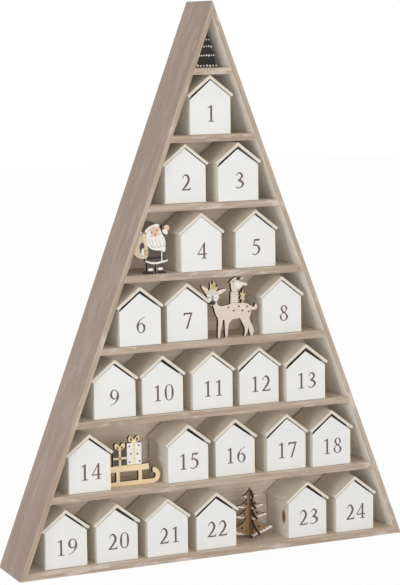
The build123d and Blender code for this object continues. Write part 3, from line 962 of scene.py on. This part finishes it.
knot = bmesh.new()
bmesh.ops.create_circle(knot, cap_ends=True, radius=1, segments=KNOT_SIDES)
sheet = knot.verts.layers.float_vector.new("sheet")
for v in knot.verts:
    v[sheet] = v.co
bmesh.ops.poke(knot, faces=knot.faces)
bmesh.ops.scale(knot, vec=(KNOT_WIDE, KNOT_LONG, 1), verts=knot.verts)
facing_left = Matrix(((0, 0, -1), (-1, 0, 0), (0, 1, 0)))
bmesh.ops.rotate(knot, verts=knot.verts, matrix=facing_left)
move(knot, house_place(KNOT_HOUSE) + Vector((-half_wide - KNOT_SKIN, KNOT_FROM_FRONT, KNOT_UP)))
piece("wall_knot", knot, [knot_rings()], f"house_{KNOT_HOUSE}", "plywood")
print("knot on the wall of house", KNOT_HOUSE)

# %% [markdown]
# The ornaments are plates of four millimetres, cut to the CAD outlines. The copy of each node is
# merged and eased, its faces get the bare or stained sheet, and all faces that look sideways get
# the burnt colour of the laser cut.

# %% Cut-out plates
PLATE_EASE = 0.15 * MM
PLATE_FACING = 0.7
SHARP = math.radians(60)


def cut_out(name, node, face_material, slot, start):
    bm = node_copy(node)
    rims = [edge for edge in bm.edges if edge.calc_face_angle(0) > SHARP
            and any(abs(face.normal.y) > PLATE_FACING for face in edge.link_faces)]
    ease(bm, rims, PLATE_EASE, steps=1)
    for face in bm.faces:
        face.material_index = 0 if abs(face.normal.y) > SQUARELY else 1
    lay_grain(bm, SIDEWAYS, UPWARDS, start)
    piece(name, bm, [face_material, paints["scorched_edge"]], "frame", slot, node)


# Piece, CAD node, sheet, slot, and where its grain starts on the sheet
cut_outs = [
    ("santa_plate", "santa_figure", "pale_sheet", "painted_ornament", 0.11),
    ("reindeer_plate", "reindeer", "pale_sheet", "pale_ornament", 0.37),
    ("sledge_plate", "sledge", "yellow_sheet", "pale_ornament", 0.53),
    ("parcel_plates", "sledge_parcels", "yellow_sheet", "pale_ornament", 0.71),
    ("top_tree_plate", "top_tree", "dark_sheet", "dark_ornament", 0.93),
]
for name, node, sheet_name, slot, start in cut_outs:
    cut_out(name, node, sheets[sheet_name], slot, start)
print("cut-outs:", len(cut_outs))

# %% [markdown]
# The paint on an ornament is a stack of flat patches, each a hair thicker than the one under it,
# so a later patch covers an earlier one as real paint does. A patch is a short list of points in
# millimetres from the middle of the ornament's foot.

# %% Patches of paint
PAINT_LAYER = 0.05 * MM


def dot(x, z, radius, tall=None):
    tall = tall or radius
    return smooth((x + radius, z), (x, z + tall), (x - radius, z), (x, z - tall))


def bar(left, right, bottom, top):
    return straight((left, bottom), (right, bottom), (right, top), (left, top))


def paint_coats(patches):
    """One mesh from layers of (paint, outline, outline, ...), and the materials it needs."""
    materials = []
    coats = []
    for level, (paint_name, *outlines) in enumerate(patches, start=1):
        material = paints[paint_name]
        if material not in materials:
            materials.append(material)
        for outline in outlines:
            coat = filled([outline], level * PAINT_LAYER, MM)
            for face in coat.faces:
                face.material_index = materials.index(material)
            coats.append(coat)
    return joined(coats), materials


def painted(name, foot, patches, slot):
    """All paint of one ornament as one piece."""
    paint, materials = paint_coats(patches)
    move(paint, foot)
    piece(name, paint, materials, "frame", slot)
    print(name, "has", len(patches), "layers")


def foot_of(node, reach):
    """The middle of an ornament's foot, from its left end and its reach to the left."""
    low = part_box(node)[0]
    return Vector((low.x + reach * MM, low.y, low.z))


# %% [markdown]
# The old man of Christmas wears a dark coat and a dark cap with white trim, lifts one hand, and
# carries a tan sack over the shoulder. Coat and sack are painted first, then skin, then all the white.

# %% Paint of the old man
SANTA_REACH = 24.43
painted("santa_paint", foot_of("santa_figure", SANTA_REACH), [
    ("sack_paint",
     smooth((-9, 41), (-13, 42.7), (-17, 39.6), (-20.4, 32.8), (-23.6, 26), (-22.4, 21.2),
            (-18.2, 18.4), (-12, 17.4), (-8.2, 19), (-7, 30))),
    ("cream_paint",
     smooth((-13.8, 41.6), (-11.4, 41.6), (-10, 36), (-10.2, 30.4), (-11.4, 30.6), (-12, 36))),
    ("coat_paint",
     straight((-11.2, 15.3), (-10.6, 13.4), (-5, 11.2), (2, 10.5), (9, 11.8), (14.4, 13), (14.2, 14.9),
              (10.7, 19.4), (10.3, 25.8), (-7.8, 32.4), (-7.8, 20)),
     smooth((-17.4, 30), (-15.8, 33.4), (-13.6, 34), (-12.2, 28), (-13, 21.8), (-15.3, 21.8),
            (-16.9, 25.5)),
     straight((6.5, 38.3), (11.8, 38.3), (14.6, 42.4), (11.8, 51.2), (9, 49.6), (8.3, 44)),
     straight((-15.2, 45.8), (-11, 44.7), (-9, 45.3), (-4.4, 49.2), (4.8, 50.3), (4.5, 52.2), (1, 53.8),
              (-2.6, 55.6), (-8, 57.1), (-12.9, 57.2)),
     bar(-8.9, -2.4, 2.4, 12), bar(2.2, 9.2, 2.4, 12)),
    ("boot_paint",
     straight((-12.8, 0.2), (-2.2, 0.2), (-2.1, 2.7), (-8.8, 2.8), (-12.8, 2.2)),
     straight((1.9, 0.2), (12.8, 0.2), (12.4, 2.5), (9.3, 3), (2, 2.8)),
     straight((-8.5, 15.8), (11, 16), (10.7, 18.4), (-8, 18.3))),
    ("skin_paint",
     smooth((-7, 47.5), (-7.4, 43), (-5, 39.5), (1, 38), (7, 40), (7.2, 45), (5, 49.6), (0, 49.6)),
     dot(13.9, 48.4, 2.9, 3.1)),
    ("hand_paint", dot(-9.9, 23.2, 2.6, 3.3)),
    ("blush_paint", dot(-3.4, 42.2, 1.5, 1.2), dot(4, 43.4, 1.3, 1.1)),
    ("snow_paint",
     smooth((-9, 44.5), (-9.7, 38), (-8.9, 32), (-4.4, 26.8), (2, 25), (8, 24.3), (10.8, 23),
            (12.1, 29), (11.6, 36.6), (8.4, 42.2), (6, 46), (5, 42.8), (0.8, 40.4), (-3.6, 41.1),
            (-5.7, 45.8)),
     smooth((-11.2, 45.4), (-9.4, 44.4), (-5.8, 47.9), (-1, 49.9), (4.6, 50.4), (5.2, 51.8),
            (3.6, 53), (-2.6, 52), (-8, 49.4)),
     dot(-16.4, 44.3, 1.9),
     smooth((9, 45.8), (10.4, 47.2), (15, 43.6), (13.8, 41.6)),
     straight((-11, 15), (-10.7, 13.1), (-5, 11), (2, 10.3), (9, 11.5), (14.6, 12.9), (14.4, 14.7),
              (9, 13.5), (2, 12.3), (-5, 13)),
     straight((7.3, 13.2), (8.4, 13.4), (8.4, 24.6), (7.4, 24.8)),
     smooth((-14.5, 20.8), (-13.2, 20.8), (-12.6, 24.4), (-13.2, 28), (-14.4, 27.6)),
     dot(-5.2, 4.9, 3.0, 1.5), dot(6.1, 5.2, 3.0, 1.5)),
    ("line_paint",
     smooth((-5.6, 40.2), (-3, 39.4), (0.6, 39.6), (3.6, 40.6), (6.6, 42.8), (3.4, 41.1), (0.6, 40.2),
            (-3, 40)),
     smooth((-7.4, 37), (-5.4, 32), (-2.2, 28), (-4.9, 32.2), (-7, 37)),
     smooth((-3.8, 37), (-2, 31.4), (1.4, 27.4), (-1.5, 31.6), (-3.4, 37)),
     smooth((0.4, 37), (2, 31.6), (5.2, 27.2), (2.5, 31.8), (0.8, 37)),
     smooth((4.4, 38), (5.8, 32), (8.2, 27.6), (6.3, 32.2), (4.8, 38)),
     smooth((8.2, 39), (9.4, 33), (10.4, 28), (9.9, 33), (8.6, 39))),
    ("nose_paint", dot(0.7, 42, 1.2, 1.1)),
    ("boot_paint", dot(-3.3, 44.5, 0.75), dot(2.4, 46.1, 0.75)),
], "painted_ornament")

# %% [markdown]
# The reindeer stays mostly bare wood. Its antlers and the twig on its back are gold, the ears are
# blushed, the cheeks are white round a blue-black nose, and dark spots run along its flank. A
# striped parcel lies on it, and a bird with white feathers and a dark cap sits on the parcel.

# %% Reindeer's paint
REINDEER_REACH = 38.83
SPOT = 1.0
STRIPE = 0.7
spots = [(-7, 32.7), (-0.5, 28.8), (5.7, 33.1), (9.8, 28.3), (15.6, 32.3), (17.4, 26.8)]
stripes = [37.4, 39.8, 42.1, 44.3, 46.4, 48.6]
painted("reindeer_paint", foot_of("reindeer", REINDEER_REACH), [
    ("gold_paint",
     straight((-28.2, 53.4), (-21.6, 53), (-20.2, 56.4), (-21.6, 54.8), (-22.7, 59.4), (-23.9, 61.4),
              (-24.7, 60.8), (-25.6, 56.2), (-27, 59.6), (-27.8, 60), (-27.7, 55)),
     straight((9.6, 36.4), (10.6, 36.4), (10.8, 51), (10.1, 50.6)),
     dot(12.2, 40.8, 1.2, 0.9), dot(12.3, 45.6, 1.2, 1.0), dot(8.5, 41.9, 1.2, 1.0),
     dot(8.7, 46.9, 1.2, 1.1), dot(10.5, 50, 0.8, 1.2),
     straight((-5.9, 60), (-3.4, 59.2), (-3.4, 61.2))),
    ("ear_paint",
     smooth((-32.6, 52.4), (-32.2, 54), (-35.6, 56.6), (-37.9, 57.6), (-37.2, 55.4), (-35.2, 52.8)),
     smooth((-19.4, 49.2), (-17.6, 48.6), (-13.4, 50.2), (-10.6, 52.6), (-14.8, 52.2), (-18.4, 51))),
    ("brow_paint",
     smooth((-28.4, 52.8), (-31, 49.4), (-28.6, 46), (-25, 44.8), (-21.8, 46), (-20.2, 49.4),
            (-22.4, 52.6))),
    ("snow_paint",
     smooth((-32.3, 48.3), (-30.4, 43.6), (-28.6, 40.6), (-26.2, 41.6), (-26.6, 45.2), (-29.4, 48.4)),
     smooth((-19, 46.4), (-21.4, 42), (-23.6, 40.6), (-25.6, 41.8), (-24.8, 45), (-22, 47.4)),
     bar(-4.1, 4.9, 37.4, 49.4),
     smooth((1.8, 54.4), (1.4, 58.4), (3, 61), (5.6, 60.4), (8.4, 59), (9.4, 55.8), (6.6, 53.4))),
    ("line_paint",
     smooth((2.4, 57.2), (3.4, 60.4), (7, 59.8), (10.6, 58.9), (16.2, 56.8), (11, 55.4), (6, 54.4),
            (3.4, 54.8))),
    ("snow_paint",
     smooth((3, 57.4), (4, 59.6), (7, 59.1), (12, 57.8), (6.4, 57.6)),
     smooth((3, 56.6), (6.4, 56.7), (12, 57), (15.4, 56.6), (11, 56), (6, 55.1), (3.8, 55.4))),
    ("shade_paint",
     smooth((-31.2, 46.4), (-30.2, 44.6), (-28.6, 44.6), (-29, 45.2), (-30.2, 45.5)),
     smooth((-20.4, 45.4), (-21.4, 43.9), (-22.9, 44.1), (-22.6, 44.7), (-21.5, 44.8)),
     smooth((-26.9, 46.4), (-26.7, 43.2), (-27.4, 40.4), (-23.9, 40.4), (-24.7, 43.2), (-24.6, 46))),
    ("slate_paint",
     smooth((-29, 38.6), (-27.8, 37), (-25.6, 36.5), (-23, 37.6), (-22.2, 39.6), (-23.4, 40.9),
            (-26, 41.2), (-28.4, 40.4)),
     dot(-0.9, 60.6, 0.7),
     straight((3.2, 61.4), (7.6, 62.6), (7.8, 64.6), (3, 65))),
    ("spot_paint", *[dot(x, z, SPOT) for x, z in spots]),
    ("stripe_paint", *[bar(-4.1, 4.9, up, up + STRIPE) for up in stripes]),
], "pale_ornament")

# %% [markdown]
# Two parcels stand on the sledge's seat: a dark one with a cream ribbon and a white one with dots.
# Their bows stay bare wood, as the sledge does, and the dark ovals in their loops are painted shade.

# %% Parcels' paint
PARCEL_REACH = 25.59
SEAT_TOP = 22.5
PARCEL_DOT = 0.95
parcel_dots = [(-6.8, 42.8), (4.4, 43.2), (-4.9, 34.5), (2.6, 34), (-6.6, 25.8), (4.9, 25.8)]
parcel_foot = foot_of("sledge_parcels", PARCEL_REACH) - Vector((0, 0, SEAT_TOP * MM))
painted("parcel_paint", parcel_foot, [
    ("coat_paint", bar(-25.3, -10, 22.8, 39.8)),
    ("snow_paint", bar(-9.5, 7.2, 22.8, 46.3)),
    ("cream_paint",
     bar(-18.9, -16.5, 22.8, 39.9), bar(-25.3, -10, 29.6, 31.8), bar(-2.4, 0.2, 22.8, 46.4)),
    ("slate_paint", *[dot(x, z, PARCEL_DOT) for x, z in parcel_dots]),
    # Dark ovals in the bows' loops: painted shade
    ("spot_paint",
     dot(-20.2, 42.4, 0.9, 1.5), dot(-15.2, 42.4, 0.9, 1.5),
     dot(-4.6, 50.2, 1.1, 2), dot(2.4, 50.2, 1.1, 2)),
], "painted_ornament")

# %% [markdown]
# In the apex stands a small tree that is stained nearly black, with four rows of white dots for its
# lights. It sits deep in the corner, where little light reaches it. Sines make the dots uneven.

# %% Lights of the top tree
TOP_TREE_REACH = 14
# Height, reach to each side, number of dots and their radius, in millimetres
light_rows = [(1.9, 12.6, 8, 1.3), (12.8, 9.8, 8, 1.1), (22.4, 6.8, 6, 1.0), (29.6, 4.3, 4, 0.9)]
lights = []
for up, reach, count, radius in light_rows:
    step = 2 * reach / (count - 1)
    for i in range(count):
        wobble = 0.25 * math.sin(2.1 * i)
        size = radius * (0.85 + 0.15 * math.sin(1.7 * i))
        lights.append(dot(-reach + step * i, up + wobble, size))
top_tree_foot = foot_of("top_tree", TOP_TREE_REACH)
painted("top_tree_paint", top_tree_foot, [("snow_paint", *lights)], "dark_ornament")
print("lights:", len(lights))

# %% [markdown]
# The fir tree on the lowest shelf is two brown boards that slot into each other. The CAD boards are
# turned a little, so the faces are told apart by their direction: the large faces lie along the
# tree's own two planes, and whatever else looks sideways is a burnt edge.

# %% Crossed fir tree
FIR_TURN = math.radians(4)
BROAD_AREA = 20 * MM * MM
FIR_GRAIN = 0.2
fir_low, fir_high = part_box("fir_tree")
fir_foot = Vector(((fir_low.x + fir_high.x) / 2, (fir_low.y + fir_high.y) / 2, fir_low.z))
across_face = Vector((math.sin(FIR_TURN), -math.cos(FIR_TURN), 0))
along_face = Vector((math.cos(FIR_TURN), math.sin(FIR_TURN), 0))

fir = node_copy("fir_tree")
for face in fir.faces:
    square = max(abs(face.normal.dot(across_face)), abs(face.normal.dot(along_face))) > SQUARELY
    face.material_index = 0 if square and face.calc_area() > BROAD_AREA else 1
lay_grain(fir, UPWARDS, SIDEWAYS, FIR_GRAIN)
print("faces of the fir tree:", len(fir.faces))
fir_finishes = [sheets["brown_sheet"], paints["scorched_edge"]]
piece("fir_boards", fir, fir_finishes, "frame", "brown_ornament", "fir_tree")

# %% [markdown]
# White snow is painted along the lower edges of the fir's branches, and the three lower branches
# have a dark dot each. One face is drawn for the right half, mirrored to the left, and turned to
# the four sides of the crossed boards.

# %% Snow and dots of the fir tree
FIR_HALF_BOARD = 1.5 * MM
FIR_DOT = 1.3
branch_snow = [
    ((25.2, 9.7), (26.8, 11.4), (22.4, 12.3), (20.6, 9.8), (19, 11), (17.4, 8.2), (15.6, 9.3), (14, 6.9),
     (12, 7.8), (10.4, 5.9), (8.6, 6.6), (7.4, 4.8), (14, 5.1), (19.4, 7.2)),
    ((19.3, 25.5), (20.2, 26.6), (16.6, 27.2), (15.2, 25.7), (14, 26.9), (12.6, 25.1), (11.2, 26.2),
     (9.8, 24.6), (8.4, 25.5), (7.4, 24), (11.2, 23.6), (15.4, 24.5)),
    ((14.9, 36.7), (15.7, 37.6), (12.6, 38.3), (11.6, 36.8), (10.6, 37.9), (9.4, 36.2), (8.2, 37.3),
     (7, 35.7), (5.8, 36.4), (5.4, 35.3), (9, 35), (12, 35.8)),
    ((8, 47.5), (8.2, 48.2), (6.2, 49.4), (5.6, 48.1), (4.8, 49), (4.2, 46.6)),
]
branch_dots = [(10.5, 12.5), (7.4, 28.6), (5.2, 39.6)]

halves = (-1, 1)
snow_outlines = [
    straight(*[(half * x, z) for x, z in points]) for half in halves for points in branch_snow
]
dot_outlines = [dot(half * x, z, FIR_DOT) for half in halves for x, z in branch_dots]
fir_patches = [("snow_paint", *snow_outlines), ("boot_paint", *dot_outlines)]


def fir_face_paint(turn):
    """Snow and dots for one face of a board, turned to where that face looks."""
    paint = paint_coats(fir_patches)[0]
    move(paint, (0, -FIR_HALF_BOARD, 0))
    bmesh.ops.rotate(paint, verts=paint.verts, matrix=Matrix.Rotation(turn, 3, "Z"))
    return paint


fir_paint = joined([fir_face_paint(-FIR_TURN + quarter * math.pi / 2) for quarter in range(4)])
move(fir_paint, fir_foot)
fir_paints = [paints[name] for name, *outlines in fir_patches]
piece("fir_paint", fir_paint, fir_paints, "frame", "brown_ornament")
print("patches of snow on a face:", len(snow_outlines))

# %% [markdown]
# A dab of dark filler closes a nick at the right end of one shelf. It is a small round button that
# stands a hair proud of the sawn edge.

# %% Filler dab
DAB_RADIUS = 0.9
DAB_FROM_END = 3.2 * MM
dab_shelf_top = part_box("house_04_shell")[0].z
dab_x = inside_half(dab_shelf_top) - DAB_FROM_END
dab = filled([dot(0, 0, DAB_RADIUS)], PAINT_LAYER, MM)
move(dab, (dab_x, front_y, dab_shelf_top - shelf_thickness / 2))
piece("filler_dab", dab, [paints["spot_paint"]], "frame", "washed_wood")
print("filler dab in mm from the middle:", round(dab_x / MM, 1))

# %% [markdown]
# The studio is a wide pale floor and an even white surround. The floor shows almost pure white to
# the camera, so that it melts into the surround, and keeps a little of the object's shadow.

# %% Floor
FLOOR_HALF = 6.0
FLOOR_WHITENESS = 0.95
FLOOR_SCALE = (2, 2, 2)
WHITE = (1, 1, 1, 1)


def studio_floor():
    finish = Finish("studio_floor")
    cloud = finish.object_noise(FLOOR_SCALE)
    finish.set(
        Base_Color=finish.mix(cloud, (246, 246, 246), (250, 250, 250)),
        Roughness=0.9,
    )
    glow = finish.node("ShaderNodeEmission", {}, {"Color": WHITE, "Strength": 1.0})
    plain = Wire(finish, finish.shader.outputs[0])
    share = finish.seen_directly() * FLOOR_WHITENESS
    finish.show(finish.node("ShaderNodeMixShader", {}, {0: share, 1: plain, 2: glow}))
    return finish.material


ground = bmesh.new()
bmesh.ops.create_grid(ground, x_segments=1, y_segments=1, size=FLOOR_HALF)
floor = meshed("studio_floor", ground, [studio_floor()])
print("floor in m:", 2 * FLOOR_HALF)

# %% [markdown]
# The surround shows white to the camera and lights the object at a plain level, a little warmer
# than the lamps. One large soft lamp in front, hung low, shines under the shelves onto the back. A
# smaller one far to the left lights the left panel's outer face and draws a bright line down the
# left edges of the fronts.

# %% Surround and lamps
SURROUND_LIGHT = 0.6
WARM_WHITE = (1.0, 0.945, 0.885, 1)
LAMP_TINT = (0.95, 0.965, 1.0)
# Place, width and height in metres, and power in watts
LAMPS = {
    "softbox": (Vector((-0.4, -2.9, 0.42)), 2.2, 0.8, 26),
    "side_lamp": (Vector((-2.75, -1.3, 0.7)), 0.9, 0.9, 19),
}

world = bpy.data.worlds.new("studio")
bpy.context.scene.world = world
world.use_nodes = True
sky = Graph(world.node_tree)
shown = sky.node("ShaderNodeBackground", {}, {"Color": WHITE, "Strength": 1.0})
lighting = sky.node("ShaderNodeBackground", {}, {"Color": WARM_WHITE, "Strength": SURROUND_LIGHT})
sky.show(sky.node("ShaderNodeMixShader", {}, {0: sky.seen_directly(), 1: lighting, 2: shown}))

for name, (place, wide, tall, power) in LAMPS.items():
    light = bpy.data.lights.new(name, "AREA")
    light.energy = power
    light.color = LAMP_TINT
    light.shape = "RECTANGLE"
    light.size, light.size_y = wide, tall
    lamp = placed(name, light)
    lamp.location = place
    lamp.rotation_mode = "QUATERNION"
    lamp.rotation_quaternion = (CAMERA_TARGET - place).to_track_quat("-Z", "Y")
print("lamps:", len(LAMPS))
